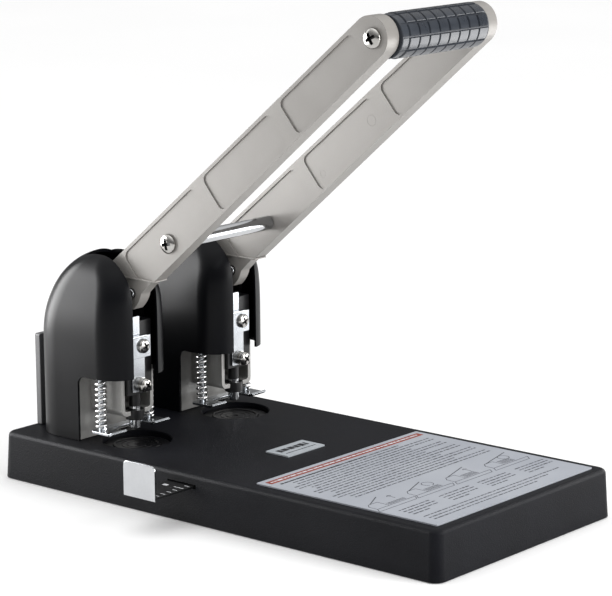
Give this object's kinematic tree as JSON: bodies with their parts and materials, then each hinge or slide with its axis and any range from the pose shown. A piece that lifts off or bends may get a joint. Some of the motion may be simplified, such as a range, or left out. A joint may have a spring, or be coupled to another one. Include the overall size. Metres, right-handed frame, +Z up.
{
  "type": "two-hole punch",
  "caption": "Heavy-duty desk hole punch: long flat base, two covered punch heads worked together by twin lever arms with a ribbed grip, and a side paper guide.",
  "frame": {"origin": "centre of the underside of the rubber base mat", "axes": "+X from the punch heads to the label end of the base, -Y the side the paper guide pulls out of, +Z up"},
  "size_m": [0.3024, 0.1798, 0.2673],
  "materials": {
    "black_plastic": "fine-grained matte black",
    "cover_paint": "satin blue-black",
    "grey_paint": "satin warm light grey",
    "black_steel": "blackened satin",
    "nickel": "bright zinc plate",
    "chrome": "polished",
    "grip_plastic": "satin dark blue-grey",
    "label_film": "satin printed film",
    "rubber": "matte",
    "disc_plastic": "satin"
  },
  "bodies": {
    "root": {"base_mat": "rubber", "base_plate": "black_steel", "base_shell": "black_plastic", "instruction_label": "label_film", "name_plate": "label_film", "rear_panel": "cover_paint", "left_bracket": "grey_paint", "left_guide_bush": "black_steel", "left_yoke": "black_steel", "left_pivot_axle": "nickel", "left_cover": "cover_paint", "left_bracket_screw_outer": "nickel", "left_bracket_screw_inner": "nickel", "right_bracket": "grey_paint", "right_guide_bush": "black_steel", "right_yoke": "black_steel", "right_pivot_axle": "nickel", "right_cover": "cover_paint", "right_bracket_screw_outer": "nickel", "right_bracket_screw_inner": "nickel"},
    "handle": {"grip_core": "black_steel", "grip_sleeve": "grip_plastic", "cross_rod": "chrome", "left_arm": "grey_paint", "left_drive_pin": "chrome", "left_grip_screw": "nickel", "left_cross_rod_screw": "nickel", "right_arm": "grey_paint", "right_drive_pin": "chrome", "right_grip_screw": "nickel", "right_cross_rod_screw": "nickel"},
    "left_slider": {"left_slide_block": "black_steel", "left_punch": "chrome", "left_clamp_strip": "nickel", "left_clamp_plate": "nickel", "left_upper_screw": "nickel", "left_lower_screw": "nickel", "left_spring_bar": "nickel", "left_spring_outer": "nickel", "left_spring_inner": "nickel"},
    "left_foot": {"left_pressure_plate": "nickel", "left_rod_outer": "nickel", "left_rod_inner": "nickel"},
    "left_disc": {"left_cutting_disc": "disc_plastic"},
    "right_slider": {"right_slide_block": "black_steel", "right_punch": "chrome", "right_clamp_strip": "nickel", "right_clamp_plate": "nickel", "right_upper_screw": "nickel", "right_lower_screw": "nickel", "right_spring_bar": "nickel", "right_spring_outer": "nickel", "right_spring_inner": "nickel"},
    "right_foot": {"right_pressure_plate": "nickel", "right_rod_outer": "nickel", "right_rod_inner": "nickel"},
    "right_disc": {"right_cutting_disc": "disc_plastic"},
    "guide": {"paper_guide": "chrome"}
  },
  "joints": [
    {"name": "handle_hinge", "type": "hinge", "parent": "root", "child": "handle", "pos_m": [-0.0982, 0, 0.106], "axis": [0, 1, 0], "range_deg": [-22, 27], "stiffness_Nm_per_rad": 8, "springref_deg": -7.16},
    {"name": "left_slide", "type": "slide", "parent": "root", "child": "left_slider", "axis": [0, 0, 1], "range_m": [-0.0085, 0.007]},
    {"name": "left_foot_slide", "type": "slide", "parent": "left_slider", "child": "left_foot", "axis": [0, 0, 1], "range_m": [-0.0024, 0.0029], "deforming": ["left_spring_outer", "left_spring_inner"]},
    {"name": "left_disc_spin", "type": "hinge", "parent": "root", "child": "left_disc", "pos_m": [-0.0812, -0.04, 0.0235], "axis": [0, 0, 1], "continuous": true},
    {"name": "right_slide", "type": "slide", "parent": "root", "child": "right_slider", "axis": [0, 0, 1], "range_m": [-0.0085, 0.007]},
    {"name": "right_foot_slide", "type": "slide", "parent": "right_slider", "child": "right_foot", "axis": [0, 0, 1], "range_m": [-0.0024, 0.0029], "deforming": ["right_spring_outer", "right_spring_inner"]},
    {"name": "right_disc_spin", "type": "hinge", "parent": "root", "child": "right_disc", "pos_m": [-0.0812, 0.04, 0.0235], "axis": [0, 0, 1], "continuous": true},
    {"name": "guide_slide", "type": "slide", "parent": "root", "child": "guide", "axis": [0, 1, 0], "range_m": [-0.045, 0.03]}
  ],
  "couplings": [
    {"joint": "left_slide", "follows": "handle_hinge", "m_per_rad": -0.018},
    {"joint": "left_foot_slide", "follows": "handle_hinge", "m_per_rad": 0.0061},
    {"joint": "right_slide", "follows": "handle_hinge", "m_per_rad": -0.018},
    {"joint": "right_foot_slide", "follows": "handle_hinge", "m_per_rad": 0.0061}
  ]
}
